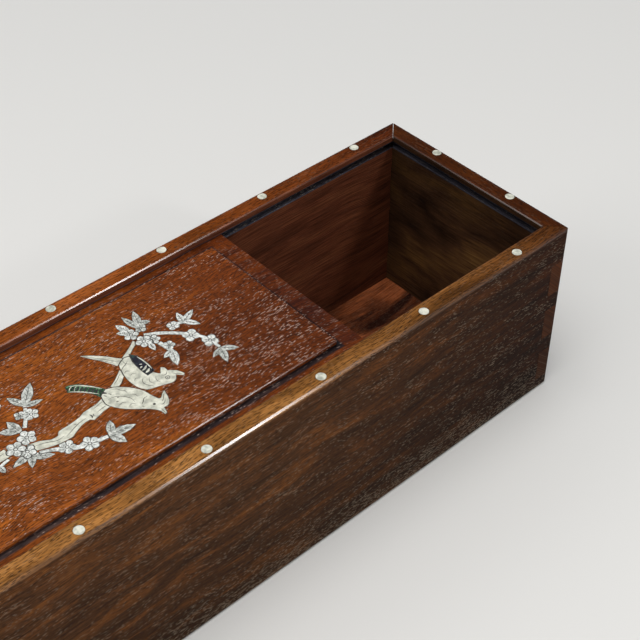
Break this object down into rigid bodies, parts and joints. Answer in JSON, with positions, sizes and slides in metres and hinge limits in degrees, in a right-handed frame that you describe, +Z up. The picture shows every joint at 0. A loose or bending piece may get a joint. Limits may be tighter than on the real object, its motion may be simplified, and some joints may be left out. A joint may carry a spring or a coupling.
{
  "type": "sliding lid box",
  "caption": "Long hardwood scholar's box whose raised-field lid slides in grooves, inlaid with shell birds, branches and rim dots.",
  "frame": {"origin": "centre of the foot of the case, on the surface it stands on", "axes": "+X to the closed end, +Y to the back, +Z up"},
  "size_m": [0.369, 0.08, 0.069],
  "materials": {
    "case_wood": "oiled rosewood, satin",
    "lid_wood": "oiled rosewood, satin",
    "shell": "polished mother-of-pearl, engraved",
    "abalone": "polished dark abalone shell"
  },
  "bodies": {
    "case": {"front_side": "case_wood", "back_side": "case_wood", "closed_end": "case_wood", "open_end": "case_wood", "bottom_board": "case_wood", "dot_front_1": "shell", "dot_front_2": "shell", "dot_front_3": "shell", "dot_front_4": "shell", "dot_front_5": "shell", "dot_front_6": "shell", "dot_front_7": "shell", "dot_back_1": "shell", "dot_back_2": "shell", "dot_back_3": "shell", "dot_back_4": "shell", "dot_back_5": "shell", "dot_back_6": "shell", "dot_back_7": "shell", "dot_closed_end_1": "shell", "dot_closed_end_2": "shell"},
    "lid": {"lid_panel": "lid_wood", "lid_end_rail": "case_wood", "dot_rail_1": "shell", "dot_rail_2": "shell", "upper_bird_body": "shell", "upper_bird_tail": "shell", "lower_bird_body": "shell", "blossom_top_back": "shell", "blossom_top_front": "shell", "blossom_top_right": "shell", "blossom_left_back": "shell", "blossom_left_front": "shell", "blossom_left_middle": "shell", "leaves_top": "shell", "twig_right": "shell", "leaves_right_end": "shell", "twig_right_back": "shell", "twig_hanging": "shell", "branch_between_birds": "shell", "branch_top": "shell", "trunk": "shell", "twig_front": "shell", "leaves_front": "shell", "leaves_left_front": "shell", "leaves_left_back": "shell", "twig_back": "shell", "leaves_back": "shell", "trunk_far_1": "shell", "trunk_far_2": "shell", "trunk_far_3": "shell", "rock": "shell", "twig_far_front": "shell", "twig_far_back": "shell", "bough_back": "shell", "bough_far": "shell", "twig_far": "shell", "upper_bird_wing": "abalone", "lower_bird_tail": "abalone"}
  },
  "joints": [
    {"name": "lid_slide", "type": "slide", "parent": "case", "child": "lid", "axis": [-1, 0, 0], "range_m": [-0.079, 0.21]}
  ]
}
